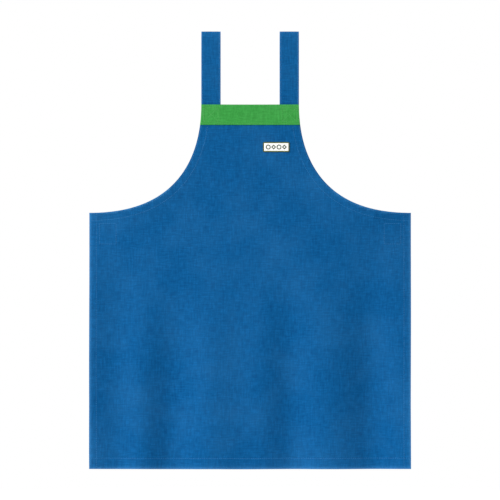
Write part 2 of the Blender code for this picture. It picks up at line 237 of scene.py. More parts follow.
def drapeBySimulation(xs, zs):
    bm = bmesh.new()
    bmesh.ops.create_grid(bm, x_segments=len(xs) - 1, y_segments=len(zs) - 1, size=0.5)
    spanX, spanZ = xs[-1] - xs[0], zs[-1] - zs[0]
    for vert in bm.verts:
        vert.co = ((vert.co.x + 0.5) * spanX + xs[0], 0, (vert.co.y + 0.5) * spanZ + zs[0])
    bmesh.ops.delete(bm, geom=[v for v in bm.verts if not insideCloth(v.co.x, v.co.z)], context="VERTS")
    flat = np.array([v.co[:] for v in bm.verts])
    depth = foldDepth(flat[:, 0], flat[:, 2])
    for vert, y in zip(bm.verts, depth):
        vert.co.y = y
    cloth = addObject("draping", meshFrom(bm, "draping"))
    held = cloth.vertex_groups.new(name="held")
    for i, (x, _, z) in enumerate(flat):
        x = abs(x)
        onStrap = strapLow.x - 0.004 < x < strapHigh.x + 0.008 and z > body["bibTop"] - hang["strapHold"]
        onTab = patchLow.x - 0.006 < x < tabHigh.x + 0.004 and abs(z - beltZ) < hang["tabHold"]
        if onStrap or onTab:
            held.add([i], 1.0, "REPLACE")
        elif z > body["bibTop"] - hang["looseHold"]:
            held.add([i], hang["looseShare"], "REPLACE")
    modifier = cloth.modifiers.new("cloth", "CLOTH")
    for key, value in hang["cloth"].items():
        setattr(modifier.settings, key, value)
    modifier.settings.vertex_group_mass = "held"
    modifier.point_cache.frame_start, modifier.point_cache.frame_end = 1, hang["frames"]
    for number in range(1, hang["frames"] + 1):
        bpy.context.scene.frame_set(number)
    settled = cloth.evaluated_get(bpy.context.evaluated_depsgraph_get()).to_mesh()
    places = np.array([v.co[:] for v in settled.vertices])
    bpy.data.objects.remove(cloth)
    bpy.context.scene.frame_set(1)
    shift = np.full((len(zs), len(xs), 3), np.nan)
    columns = np.rint((flat[:, 0] - xs[0]) / hang["step"]).astype(int)
    rows = np.rint((flat[:, 2] - zs[0]) / hang["step"]).astype(int)
    shift[rows, columns] = places - flat
    return shift


def spreadOutwards(shift):
    while np.isnan(shift).any():
        padded = np.pad(shift, ((1, 1), (1, 1), (0, 0)), constant_values=np.nan)
        around = np.stack([padded[2:, 1:-1], padded[:-2, 1:-1], padded[1:-1, 2:], padded[1:-1, :-2]])
        known = ~np.isnan(around)
        total, count = np.where(known, around, 0).sum(0), known.sum(0)
        average = np.divide(total, count, out=np.full_like(total, np.nan), where=count > 0)
        shift = np.where(np.isnan(shift), average, shift)
    return shift


def smoothed(values, passes):
    for _ in range(passes):
        padded = np.pad(values, ((1, 1), (1, 1), (0, 0)), mode="edge")
        values = (padded[2:] + 2 * padded[1:-1] + padded[:-2]) / 4
        values = (values[:, 2:] + 2 * values[:, 1:-1] + values[:, :-2]) / 4
    return values


def makeDrape():
    xs, zs = simulationGrid()
    gridX, gridZ = np.meshgrid(xs, zs)
    shift = spreadOutwards(drapeBySimulation(xs, zs))
    shift[:, :, 1] = np.maximum(shift[:, :, 1], -hang["mostForward"])
    shift = smoothed(shift, hang["smooth"])
    onTab = smoothStep(0.315, 0.332, np.abs(gridX)) * smoothStep(0.060, 0.034, np.abs(gridZ - beltZ))
    onStrap = smoothStep(0.058, 0.072, np.abs(gridX)) * smoothStep(body["bibTop"] - 0.085, body["bibTop"] - 0.05, gridZ)
    shift = shift * (1 - np.maximum(onTab, onStrap))[:, :, None]
    print("drape in mm, from", shift.min((0, 1)) * 1000, "to", shift.max((0, 1)) * 1000)
    return {"x": xs[0], "z": zs[0], "shift": shift}


# cubic B-spline weights of the four nearest grid lines, and their slopes
def splineWeights(share):
    rest = 1 - share
    weights = (rest**3, 3 * share**3 - 6 * share**2 + 4, -3 * share**3 + 3 * share**2 + 3 * share + 1, share**3)
    slopes = (-3 * rest**2, 9 * share**2 - 12 * share, -9 * share**2 + 6 * share + 3, 3 * share**2)
    return np.stack(weights) / 6, np.stack(slopes) / 6


def onDrape(flat):
    rows, columns = drape["shift"].shape[:2]
    across = np.clip((flat[:, 0] - drape["x"]) / hang["step"], 1, columns - 2.001)
    up = np.clip((flat[:, 2] - drape["z"]) / hang["step"], 1, rows - 2.001)
    column, row = across.astype(int), up.astype(int)
    weightX, slopeX = splineWeights(across - column)
    weightZ, slopeZ = splineWeights(up - row)
    moved, alongX, alongZ = np.zeros((3, len(flat), 3))
    for i in range(4):
        for j in range(4):
            value = drape["shift"][row + j - 1, column + i - 1]
            moved += value * (weightX[i] * weightZ[j])[:, None]
            alongX += value * (slopeX[i] * weightZ[j])[:, None] / hang["step"]
            alongZ += value * (weightX[i] * slopeZ[j])[:, None] / hang["step"]
    alongX[:, 0] += 1
    alongZ[:, 2] += 1
    normal = np.cross(alongZ, alongX)
    normal /= np.linalg.norm(normal, axis=1)[:, None]
    places = flat.copy()
    places[:, 1] = body["middleY"]
    return places + moved + normal * flat[:, 1:2]


# paths for bands
def arcPoints(centre, radius, start, end, steps=24):
    angles = np.radians(np.linspace(start, end, steps + 1))
    return [(centre[0] + radius * math.cos(a), centre[1] + radius * math.sin(a)) for a in angles]


def makePath(points, across, step=0.0005, smooth=4):
    points = np.array(points, float)
    lengths = lengthsAlong(points)
    even = np.linspace(0, lengths[-1], int(lengths[-1] / step))
    line = np.stack([np.interp(even, lengths, points[:, k]) for k in range(3)], 1)
    for _ in range(smooth):
        line[1:-1] = (line[2:] + 2 * line[1:-1] + line[:-2]) / 4
    along = np.gradient(line, axis=0)
    along /= np.linalg.norm(along, axis=1)[:, None]
    return {"line": line, "along": along, "across": np.array(across, float), "at": lengthsAlong(line)}


def onPath(path):
    def place(flat):
        centre, along = (np.stack([np.interp(flat[:, 2], path["at"], path[key][:, k]) for k in range(3)], 1)
                         for key in ("line", "along"))
        normal = np.cross(path["across"], along)
        normal /= np.linalg.norm(normal, axis=1)[:, None]
        return centre + path["across"] * flat[:, 0:1] + normal * flat[:, 1:2]

    return place


def cutsAlong(path, longest, sharpest=10):
    turned = np.degrees(np.arccos(np.clip((path["along"][1:] * path["along"][:-1]).sum(1), -1, 1)))
    cuts, sinceCut, sinceTurn = [], 0.0, 0.0
    for i, turn in enumerate(turned):
        cut = path["at"][i + 1]
        sinceCut += cut - path["at"][i]
        sinceTurn += turn
        if (sinceCut > longest or sinceTurn > sharpest) and path["at"][-1] - cut > longest / 4:
            cuts.append(cut)
            sinceCut = sinceTurn = 0.0
    return cuts


# flat pieces
def evenCuts(low, high, cell):
    count = max(1, int(round((high - low) / cell)))
    return [low + (high - low) * i / count for i in range(1, count)]


def gridCuts(outline, cell):
    xs, zs = [p.x for p in outline], [p.y for p in outline]
    return evenCuts(min(xs), max(xs), cell), evenCuts(min(zs), max(zs), cell)


def cutFlat(outline, cutsX, cutsZ):
    bm = bmesh.new()
    bm.faces.new([bm.verts.new((p.x, 0, p.y)) for p in outline])
    for axis, cuts in ((Vector((1, 0, 0)), cutsX), (Vector((0, 0, 1)), cutsZ)):
        for cut in sorted(set(round(c, 7) for c in cuts)):
            every = bm.verts[:] + bm.edges[:] + bm.faces[:]
            bmesh.ops.bisect_plane(bm, geom=every, dist=1e-6, plane_co=axis * cut, plane_no=axis)
    bmesh.ops.recalc_face_normals(bm, faces=bm.faces)
    if sum(face.normal.y * face.calc_area() for face in bm.faces) > 0:  # the flat piece faces the front
        bmesh.ops.reverse_faces(bm, faces=bm.faces)
    return bm


# a cut that passes close to a corner of the outline leaves a sliver, and points that near are merged
def mergeSlivers(bm, size=0.0010):
    rim = [v for v in bm.verts if v.is_boundary]
    near = bmesh.ops.find_doubles(bm, verts=bm.verts, keep_verts=rim, dist=size)
    bmesh.ops.weld_verts(bm, targetmap=near["targetmap"])
    bmesh.ops.remove_doubles(bm, verts=[v for v in bm.verts if v.is_boundary], dist=size)


def thicken(bm, front, thick, soft=0.35, segments=2):
    for vert in bm.verts:
        vert.co.y = front
    grown = bmesh.ops.extrude_face_region(bm, geom=bm.faces[:], use_keep_orig=True)
    bmesh.ops.translate(bm, verts=only(bmesh.types.BMVert, grown["geom"]), vec=(0, thick, 0))
    bmesh.ops.recalc_face_normals(bm, faces=bm.faces)
    if soft:
        roundEdges(bm, soft * thick, segments)


sharpAngle = math.radians(60)


def roundEdges(bm, radius, segments=2):
    sharp = [e for e in bm.edges if e.is_manifold and e.calc_face_angle(0) > sharpAngle]
    bmesh.ops.bevel(bm, geom=sharp, offset=radius, segments=segments, profile=0.5, affect="EDGES",
                    material=-1, clamp_overlap=True)
    bmesh.ops.remove_doubles(bm, verts=bm.verts, dist=5e-6)


# finish is a material and a slot name; the piece takes the material
def finishPiece(bm, name, place, finish, owner="apron", replaced=(), wearOn=None):
    flat = np.array([v.co[:] for v in bm.verts])
    pattern = bm.loops.layers.uv.new("pattern")
    for face in bm.faces:
        for loop in face.loops:
            loop[pattern].uv = (loop.vert.co.x, loop.vert.co.z)
    wear = bm.verts.layers.float.new("wear")
    if wearOn is not None:
        for vert, value in zip(bm.verts, wearOn(flat)):
            vert[wear] = float(value)
    if place is not None:
        for vert, co in zip(bm.verts, place(flat)):
            vert.co = co
    if bm.calc_volume(signed=True) < 0:  # a place along a path may mirror the flat piece
        bmesh.ops.reverse_faces(bm, faces=bm.faces)
    mesh = meshFrom(bm, name)
    mesh.polygons.foreach_set("use_smooth", [True] * len(mesh.polygons))
    mesh.set_sharp_from_angle(angle=math.radians(50))
    mesh.materials.append(finish[0])
    piece = addObject(name, mesh)
    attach(piece, owner)
    if replaced:
        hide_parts(*replaced)
    return piece


# stitches
thread = {"pitch": 0.0046, "length": 0.0036, "radius": 0.00040, "proud": 0.0001}


def ball(name, around, rings):
    bm = bmesh.new()
    upright = Matrix.Rotation(math.pi / 2, 4, "Y")
    bmesh.ops.create_uvsphere(bm, u_segments=around, v_segments=rings, radius=1, matrix=upright)
    return meshFrom(bm, name)


stitchShape = ball("stitchShape", 6, 4)
wrapShape = ball("wrapShape", 8, 6)


def laidAlong(x, z, depth, angle, size):
    return Matrix.Translation((x, depth, z)) @ Matrix.Rotation(-angle, 4, "Y") @ Matrix.Diagonal((*size, 1))


def sewLine(points, depth, closed=False):
    points = np.array([(p[0], p[1]) for p in points], float)
    if closed:
        points = np.vstack([points, points[:1]])
    lengths = lengthsAlong(points)
    count = max(1, int(round(lengths[-1] / thread["pitch"])))
    half = thread["length"] / thread["pitch"] * lengths[-1] / count / 2
    turns = []
    for i in range(count):
        at = lengths[-1] * (i + 0.5) / count
        x, z = (np.interp(at, lengths, points[:, k]) for k in (0, 1))
        startX, endX = (np.interp(at + e, lengths, points[:, 0]) for e in (-half, half))
        startZ, endZ = (np.interp(at + e, lengths, points[:, 1]) for e in (-half, half))
        angle = math.atan2(endZ - startZ, endX - startX)
        turns.append(laidAlong(x, z, depth, angle, (half, thread["radius"], thread["radius"])))
    return turns


# a seam's box with its cross
def sewBox(left, right, low, high, depth):
    corners = rectangle(left, right, low, high)
    turns = sewLine(corners, depth, closed=True)
    return turns + sewLine(corners[::2], depth) + sewLine(corners[1::2], depth)


def repeated(shape, turns):
    bm = bmesh.new()
    for _ in turns:
        bm.from_mesh(shape)
    verts, each = list(bm.verts), len(shape.vertices)
    for i, turn in enumerate(turns):
        for vert in verts[i * each:(i + 1) * each]:
            vert.co = turn @ vert.co
    return bm


# materials
def linear(code):
    channels = [int(code[i:i + 2], 16) / 255 for i in (1, 3, 5)]
    return (*[c / 12.92 if c <= 0.04045 else ((c + 0.055) / 1.055) ** 2.4 for c in channels], 1.0)


def feed(tree, node, links):
    for key, source in links.items():
        tree.links.new(source, node.inputs[key])


def addNode(tree, kind, settings=None, links=None, stops=None):
    node = tree.nodes.new("ShaderNode" + kind)
    for key, value in (settings or {}).items():
        if isinstance(key, int) or key in node.inputs.keys():
            node.inputs[key].default_value = value
        else:
            setattr(node, key, value)
    feed(tree, node, links or {})
    for i, (position, colour) in enumerate(stops or ()):
        elements = node.color_ramp.elements
        element = elements[i] if i < 2 else elements.new(position)
        element.position, element.color = position, colour
    return node


white, black = (1, 1, 1, 1), (0, 0, 0, 1)


def newMaterial(name):
    material = bpy.data.materials.new(name)
    material.use_nodes = True
    tree = material.node_tree
    return material, tree, tree.nodes["Principled BSDF"]


# Woven cotton: a rib or twill line, uneven yarns both ways, washed-out patches, and pale wear where an edge rubs.
# Real twill lines are 1 mm apart. They are drawn wider, and again as broad faint lines, to show on the whole apron.
twill = {
    "rib": 0.0017,
    "ribAngle": 32,
    "ribShare": 0.26,
    "broadRib": 0.0056,
    "broadShare": 0.16,
    "warp": (0.0036, 0.028),
    "weft": (0.020, 0.0034),
    "patchShare": 0.10,
    "bump": 0.5,
    "roughness": 0.84,
    "gloss": 0.05,
}


def wovenCloth(name, shades, faded, look):
    material, tree, shader = newMaterial(name)
    dark, middle, pale = [linear(shade) for shade in shades]
    pattern = addNode(tree, "UVMap", {"uv_map": "pattern"}).outputs["UV"]
    turned = addNode(tree, "Mapping", {"Rotation": (0, 0, math.radians(look["ribAngle"]))}, {"Vector": pattern})
    ribHighs = []
    for width, bend, share in ((look["rib"], 0.35, look["ribShare"]), (look["broadRib"], 0.9, look["broadShare"])):
        ribs = addNode(tree, "TexWave", {"Scale": 0.314 / width, "Distortion": bend, "Detail": 2.0,
                                         "Detail Scale": 1.5}, {"Vector": turned.outputs["Vector"]})
        ribHighs.append(addNode(tree, "Math", {"operation": "MULTIPLY", 1: share}, {0: ribs.outputs["Fac"]}).outputs[0])
    yarns = []
    for wide, long in (look["warp"], look["weft"]):
        laid = addNode(tree, "Mapping", {"Scale": (1 / wide, 1 / long, 1)}, {"Vector": pattern})
        yarns.append(addNode(tree, "TexNoise", {"Scale": 1.0, "Detail": 3.0, "Roughness": 0.6},
                             {"Vector": laid.outputs["Vector"]}).outputs[0])
    both = addNode(tree, "Math", {"operation": "ADD"}, {0: yarns[0], 1: yarns[1]})
    slubs = addNode(tree, "Math", {"operation": "MULTIPLY", 1: 0.5}, {0: both.outputs[0]}).outputs[0]
    dyed = addNode(tree, "ValToRGB", links={"Fac": slubs}, stops=((0.36, dark), (0.50, middle), (0.64, pale)))
    broad = addNode(tree, "Mix", {"data_type": "RGBA", 7: dark}, {0: ribHighs[1], 6: dyed.outputs["Color"]})
    ribbed = addNode(tree, "Mix", {"data_type": "RGBA", 7: pale}, {0: ribHighs[0], 6: broad.outputs[2]})
    cloud = addNode(tree, "TexNoise", {"Scale": 7.0, "Detail": 5.0, "Roughness": 0.6}, {"Vector": pattern})
    patches = addNode(tree, "ValToRGB", links={"Fac": cloud.outputs[0]}, stops=((0.40, black), (0.72, white)))
    washing = addNode(tree, "Math", {"operation": "MULTIPLY", 1: look["patchShare"]}, {0: patches.outputs["Color"]})
    washed = addNode(tree, "Mix", {"data_type": "RGBA", 7: linear(faded)},
                     {0: washing.outputs[0], 6: ribbed.outputs[2]})
    worn = addNode(tree, "Attribute", {"attribute_name": "wear"})
    rubbed = addNode(tree, "TexNoise", {"Scale": 210.0, "Detail": 4.0, "Roughness": 0.7}, {"Vector": pattern})
    rubbedAway = addNode(tree, "Math", {"operation": "MULTIPLY"}, {0: worn.outputs["Fac"], 1: rubbed.outputs[0]})
    colour = addNode(tree, "Mix", {"data_type": "RGBA", 7: linear(faded)},
                     {0: rubbedAway.outputs[0], 6: washed.outputs[2]})
    height = addNode(tree, "Math", {"operation": "MULTIPLY_ADD", 1: 1.6}, {0: slubs, 2: ribHighs[0]})
    bump = addNode(tree, "Bump", {"Strength": look["bump"], "Distance": look["rib"] * 0.35},
                   {"Height": height.outputs[0]})
    rough = addNode(tree, "MapRange", {"From Min": 0.35, "From Max": 0.65, "To Min": look["roughness"] + 0.07,
                                       "To Max": look["roughness"] - 0.07}, {"Value": slubs})
    feed(tree, shader, {"Base Color": colour.outputs[2], "Normal": bump.outputs["Normal"],
                        "Roughness": rough.outputs[0]})
    shader.inputs["Specular IOR Level"].default_value = look["gloss"]
    return material


# Spun polyester thread: a slight twist and a soft shine.
def spunThread(name, shade, pale):
    material, tree, shader = newMaterial(name)
    place = addNode(tree, "TexCoord").outputs["Object"]
    twist = addNode(tree, "TexNoise", {"Scale": 900.0, "Detail": 2.0}, {"Vector": place})
    colour = addNode(tree, "Mix", {"data_type": "RGBA", 6: linear(shade), 7: linear(pale)}, {0: twist.outputs[0]})
    bump = addNode(tree, "Bump", {"Strength": 0.4, "Distance": 0.0002}, {"Height": twist.outputs[0]})
    feed(tree, shader, {"Base Color": colour.outputs[2], "Normal": bump.outputs["Normal"]})
    shader.inputs["Roughness"].default_value = 0.5
    shader.inputs["Specular IOR Level"].default_value = 0.25
    return material


# Nickel plate over bent and pressed steel: bright, with fine scuffs that dull it in places.
def platedSteel(name):
    material, tree, shader = newMaterial(name)
    place = addNode(tree, "TexCoord").outputs["Object"]
    scuffs = addNode(tree, "TexNoise", {"Scale": 420.0, "Detail": 6.0, "Roughness": 0.75}, {"Vector": place})
    dull = addNode(tree, "TexNoise", {"Scale": 70.0, "Detail": 3.0}, {"Vector": place})
    colour = addNode(tree, "Mix", {"data_type": "RGBA", 6: linear("#8B8E91"), 7: linear("#B1B3B5")},
                     {0: dull.outputs[0]})
    rough = addNode(tree, "MapRange", {"From Min": 0.3, "From Max": 0.75, "To Min": 0.20, "To Max": 0.42},
                    {"Value": scuffs.outputs[0]})
    bump = addNode(tree, "Bump", {"Strength": 0.12, "Distance": 0.0003}, {"Height": scuffs.outputs[0]})
    feed(tree, shader, {"Base Color": colour.outputs[2], "Roughness": rough.outputs[0],
                        "Normal": bump.outputs["Normal"]})
    shader.inputs["Metallic"].default_value = 1.0
    return material


# Webbing is woven in ribs across its length, the label in a smooth satin.
webbingLook = {**twill, "rib": 0.0026, "broadRib": 0.0052, "ribAngle": 90, "ribShare": 0.5, "warp": (0.0022, 0.030),
               "weft": (0.020, 0.0026), "bump": 0.6, "roughness": 0.72, "gloss": 0.15}
satinLook = {**twill, "rib": 0.0012, "ribAngle": 0, "ribShare": 0.2, "broadShare": 0.0, "warp": (0.0012, 0.012),
             "weft": (0.012, 0.0012), "patchShare": 0.1, "bump": 0.2, "roughness": 0.5, "gloss": 0.3}
fadedBlue = "#3C7DB0"
blueTwill = wovenCloth("dyedCottonTwill", ("#023966", "#034574", "#075085"), fadedBlue, twill)
blueTape = wovenCloth("dyedCottonWebbing", ("#02355D", "#033C68", "#064677"), fadedBlue, webbingLook)
greenTwill = wovenCloth("dyedGreenTwill", ("#28722E", "#2F7F37", "#378B3F"), "#6BAA6E", twill)
labelSatin = wovenCloth("wovenLabelSatin", ("#C6C6C0", "#D2D2CC", "#DEDED9"), "#EDEDE8", satinLook)
blueThread = spunThread("bluePolyesterThread", "#12568C", "#2F79AE")

# each finish is a material with its slot
blueCloth, blueSewing = (blueTwill, "blue_cloth"), (blueThread, "blue_cloth")
greenCloth = (greenTwill, "green_cloth")
greenSewing = (spunThread("greenPolyesterThread", "#368A3C", "#5AAE60"), "green_cloth")
tape, tapeSewing = (blueTape, "webbing"), (blueThread, "webbing")
labelFace = (labelSatin, "label_white")
labelEdge = (spunThread("oliveOverlockThread", "#38441A", "#56622A"), "label_edge")
labelMark = (spunThread("darkLabelThread", "#1C2E24", "#2E4436"), "label_edge")
metal = (platedSteel("nickelPlatedSteel"), "steel")

drape = makeDrape()
print("drape is ready")


# body
def bodyWear(flat):
    x, z = np.abs(flat[:, 0]), flat[:, 2]
    armhole = np.clip(halfWidthAt(z) - x, 0, None)
    corner = np.maximum(body["cornerZ"] - z, 0)  # below the armhole the top edge rubs too
    top = np.where(x > 0.20, np.hypot(armhole, corner), 1.0)
    edge = np.minimum.reduce([body["halfSkirt"] - x, z - body["hemZ"], top])
    return 0.8 * np.exp(-np.clip(edge, 0, None) / 0.0035)


def makeBody():
    edge = armholeEdge()
    hemCorner = Vector((body["halfSkirt"], body["hemZ"]))
    outline = [*edge, hemCorner, *mirrored([hemCorner]), *mirrored(edge)]
    inner = body["halfSkirt"] - body["sideHem"]
    hemTop = body["hemZ"] + body["bottomHem"]
    sideTop = body["cornerZ"] - body["facingWidth"] - 0.0006
    cutsX = [*evenCuts(-inner, inner, body["cell"]), -inner, inner]
    cutsX += [side * (inner + body["sideHem"] * k / 3) for side in (-1, 1) for k in (1, 2)]
    cutsZ = [*evenCuts(sideTop, body["bibTop"], body["cell"]), sideTop, *evenCuts(hemTop, sideTop, body["cell"])]
    cutsZ += [hemTop, *evenCuts(body["hemZ"], hemTop, body["cell"])]
    bm = cutFlat(outline, cutsX, cutsZ)
    mergeSlivers(bm)
    thicken(bm, -body["thick"] / 2, body["thick"], soft=0)
    turned = []
    for face in bm.faces:
        centre = face.calc_center_median()
        inHem = centre.z < hemTop or (abs(centre.x) > inner and centre.z < sideTop)
        if face.normal.y > 0.5 and inHem:
            turned.append(face)
    moved = only(bmesh.types.BMVert, bmesh.ops.extrude_face_region(bm, geom=turned)["geom"])
    bmesh.ops.delete(bm, geom=turned, context="FACES")
    bmesh.ops.translate(bm, verts=moved, vec=(0, body["hemThick"], 0))
    bm.normal_update()
    roundEdges(bm, body["rounding"])
    return finishPiece(bm, "body_cloth", onDrape, blueCloth, replaced=["apron_panel"], wearOn=bodyWear)


bodyCloth = makeBody()
print("body", len(bodyCloth.data.polygons))


def depthOf(node):
    low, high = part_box(node)
    return low.y - body["middleY"], high.y - low.y


def makeArmholeFacings():
    pieces = []
    drop = bandHigh.z - bandLow.z
    for side, sign in sides.items():
        outline = armholeEdge(firstDrop=drop) + armholeEdge(firstDrop=drop, inset=body["facingWidth"])[::-1]
        if sign < 0:
            outline = mirrored(outline)
        bm = cutFlat(outline, *gridCuts(outline, body["cell"]))
        mergeSlivers(bm)
        thicken(bm, *depthOf("armhole_facing_" + side))
        pieces.append(finishPiece(bm, f"armhole_facing_cloth_{side}", onDrape, blueCloth,
                                  replaced=["armhole_facing_" + side]))
    return pieces


facings = makeArmholeFacings()


# green band, and its turned-over half, which sinks to the body between the straps
def sinkBetweenStraps(bm, front):
    close = body["thick"] / 2 + 0.0002
    for vert in bm.verts:
        inner = smoothStep(strapLow.x - 0.003, strapLow.x - 0.014, abs(vert.co.x))
        vert.co.y -= (front - close) * float(inner)


def makeBand():
    edge = armholeEdge(lastDrop=bandHigh.z - bandLow.z, count=10)
    outline = edge + mirrored(edge)
    pieces = []
    for node, name in (("bib_band", "band_cloth"), ("bib_facing", "band_facing_cloth")):
        bm = cutFlat(outline, *gridCuts(outline, 0.004))
        mergeSlivers(bm)
        front, thick = depthOf(node)
        thicken(bm, front, thick, soft=0.42)
        if node == "bib_facing":
            sinkBetweenStraps(bm, front)
        pieces.append(finishPiece(bm, name, onDrape, greenCloth, replaced=[node]))
    return pieces


band, bandFacing = makeBand()
print("band")


# label
labelLook = {
    "cell": 0.003,
    "wrapPitch": 0.00078,
    "wrapHalf": 0.00052,
    "wrapTurn": math.radians(78),  # the overlock thread leans over the edge
    "marks": (0.17, 0.39, 0.61, 0.83),  # places along the label
    "markSize": 0.0120,
    "markStroke": 0.0021,
    "markHeight": 0.0004,
}


def overlockTurns(low, high):
    front, thick = depthOf("label_border")
    middle = (low.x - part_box("label_border")[0].x) / 2
    around = roundRectangle(low.x - middle, high.x + middle, low.z - middle, high.z + middle, 0.0015)
    points = np.array([(p.x, p.y) for p in around + around[:1]])
    lengths = lengthsAlong(points)
    size = (middle * 1.02, thick / 2, labelLook["wrapHalf"])
    count = int(lengths[-1] / labelLook["wrapPitch"])
    turns = []
    for i in range(count):
        at = lengths[-1] * i / count
        ahead = (at + 0.0005) % lengths[-1]
        x, z, aheadX, aheadZ = (np.interp(place, lengths, points[:, k]) for place in (at, ahead) for k in (0, 1))
        angle = math.atan2(aheadZ - z, aheadX - x) + labelLook["wrapTurn"]
        turns.append(laidAlong(x, z, front + thick / 2, angle, size))
    return turns


# embroidered marks with no meaning: rings and diamonds in turn
def embroideredMarks(low, high, front):
    bm = bmesh.new()
    for i, share in enumerate(labelLook["marks"]):
        place = Matrix.Translation((low.x + (high.x - low.x) * share, front, (low.z + high.z) / 2))
        made = bmesh.ops.create_circle(bm, cap_ends=True, segments=4 if i % 2 else 18, radius=labelLook["markSize"] / 2,
                                       matrix=place @ Matrix.Rotation(math.pi / 2, 4, "X"))
        face = made["verts"][0].link_faces[0]
        bmesh.ops.inset_region(bm, faces=[face], thickness=labelLook["markStroke"], use_even_offset=True,
                               use_boundary=True)
        bmesh.ops.delete(bm, geom=[face], context="FACES")
    raised = bmesh.ops.extrude_face_region(bm, geom=bm.faces[:], use_keep_orig=True)["geom"]
    bmesh.ops.translate(bm, verts=only(bmesh.types.BMVert, raised), vec=(0, -labelLook["markHeight"], 0))
    bmesh.ops.recalc_face_normals(bm, faces=bm.faces)
    roundEdges(bm, labelLook["markHeight"] * 0.4)
    return bm


def makeLabel():
    low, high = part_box("name_label")
    front, thick = depthOf("name_label")
    outline = roundRectangle(low.x, high.x, low.z, high.z, 0.001)
    bm = cutFlat(outline, *gridCuts(outline, labelLook["cell"]))
    thicken(bm, front, thick, soft=0.3)
    label = finishPiece(bm, "label_cloth", onDrape, labelFace, replaced=["name_label"])
    bm = repeated(wrapShape, overlockTurns(low, high))
    border = finishPiece(bm, "label_overlock", onDrape, labelEdge, replaced=["label_border"])
    return label, border, finishPiece(embroideredMarks(low, high, front), "label_marks", onDrape, labelMark)


labelPieces = makeLabel()
print("label")

# shoulder straps
strap = {
    "width": strapHigh.x - strapLow.x,
    "thick": 0.0020,
    "sewn": 0.046,
    "railRadius": 0.020,
    "loopTop": 0.0206,  # above the belt's middle
    "tail": 0.160,
    "tailGap": 0.0003,
    "edgeStitch": 0.0035,
}


def strapLine(x):
    half = strap["thick"] / 2
    run = strap["railRadius"] + half
    back = strapHigh.y - half
    radius = (back - run) / 2
    high = beltZ + strap["loopTop"]
    tail = run + strap["thick"] + strap["tailGap"]
    points = [(-run, body["bibTop"] - strap["sewn"])]
    points += arcPoints((0, -strap["railRadius"]), run, 180, 0, 40)
    points += arcPoints((run + radius, strapLow.z + half + radius), radius, 180, 360, 24)
    points += [(back, high), (tail, high + 0.012), (tail, beltZ + strap["tail"])]
    return [(x, y, z) for y, z in points]


# a band is thinner along its seams
def bandSection(bm, groove, deep=0.22, wide=0.0012):
    for vert in bm.verts:
        gap = abs(abs(vert.co.x) - groove)
        vert.co.y *= 1 - deep * math.exp(-((gap / wide) ** 2))


def makeBandPiece(name, path, width, thick, finish, owner, node, cell, groove):
    length = path["at"][-1]
    half = width / 2
    cutsX = [*evenCuts(-half, half, cell), *(side * (groove + k * 0.0011) for side in (-1, 1) for k in (-1, 0, 1))]
    bm = cutFlat(rectangle(-half, half, 0, length), cutsX, cutsAlong(path, 0.006))
    thicken(bm, -thick / 2, thick, soft=0.4)
    bandSection(bm, groove)
    piece = finishPiece(bm, name, onPath(path), finish, owner, [node],
                        lambda flat: 0.7 * np.exp(-np.clip(half - np.abs(flat[:, 0]), 0, None) / 0.0012))
    print(name, "length", round(length, 4), "faces", len(piece.data.polygons))
    return piece


strapPieces, strapPaths = [], {}
for side, sign in sides.items():
    strapPaths[side] = makePath(strapLine(sign * (strapLow.x + strapHigh.x) / 2), (1, 0, 0))
    strapPieces.append(makeBandPiece(f"strap_cloth_{side}", strapPaths[side], strap["width"], strap["thick"], blueCloth,
                                     "apron", "shoulder_strap_" + side, 0.006,
                                     strap["width"] / 2 - strap["edgeStitch"]))

# belt, tabs and patches
webbing = {
    "thick": 0.0016,
    "width": beltHigh.z - beltLow.z,
    "cell": 0.0048,
    "groove": 0.0022,  # in from the edges
    "fold": 0.0032,  # radius at the middle of the webbing
    "layer": 0.00095,  # half the distance between two layers
    "sewn": 0.030,
}
wire = 0.0020  # radius
ringLow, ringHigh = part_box("waist_ring_right")
ringY = (ringLow.y + ringHigh.y) / 2
panelBar, beltBar = ringHigh.x - wire, ringLow.x + wire
eyeLow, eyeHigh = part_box("eye_ring")
eyeY = (eyeLow.y + eyeHigh.y) / 2
eyeBeltBar = eyeLow.x + wire
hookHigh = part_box("belt_hook")[1]
hookBar = hookHigh.x - wire
hookY = hookHigh.y - 0.0010


# webbing folded round a bar; low and high are the two layers' offset, turning angle and length
def foldLine(bar, toward, low, high):
    bar, toward = Vector(bar), Vector(toward).normalized()
    across = Vector((-toward.y, toward.x))
    radius = webbing["fold"]
    ends = []
    for sign, (offset, angle, length) in ((-1, low), (1, high)):
        turn = math.radians(angle)
        height = radius * math.sin(turn) - sign * offset
        leave = radius * math.cos(turn) + height * math.tan(turn)
        ends.append([bar + toward * u + across * offset for u in (length, leave)])
    around = arcPoints((0, 0), radius, -low[1], high[1] - 360, 24)
    return ends[0] + [bar + toward * u + across * v for u, v in around] + ends[1][::-1]


def beltPath(points):
    return makePath([(p[0], p[1], beltZ) for p in points], (0, 0, 1))


def mainBeltLine():
    layer = webbing["layer"]
    bar = Vector((-beltBar, ringY))
    middleY = eyeY - layer
    direction = (Vector((-0.142, middleY)) - bar).normalized()
    along = (middleY - bar.y + layer * direction.x) / direction.y
    left = foldLine(bar, direction, (-layer, 60, along), (layer, 60, 0.150))
    right = foldLine((eyeBeltBar, eyeY), (-1, 0), (-layer, 60, webbing["sewn"]), (layer, 60, webbing["sewn"]))
    return left[::-1] + right[::-1][1:]


def shortBeltLine():
    layer = webbing["layer"]
    first, second = Vector((hookBar, hookY)), Vector((beltBar, ringY))
    direction = (second - first).normalized()
    middle = (second - first).length / 2
    hookEnd = foldLine(first, direction, (-layer, 60, middle), (layer, 60, webbing["sewn"]))
    ringEnd = foldLine(second, -direction, (-layer, 60, webbing["sewn"]), (layer, 60, middle))
    return hookEnd[::-1] + ringEnd[::-1][1:]


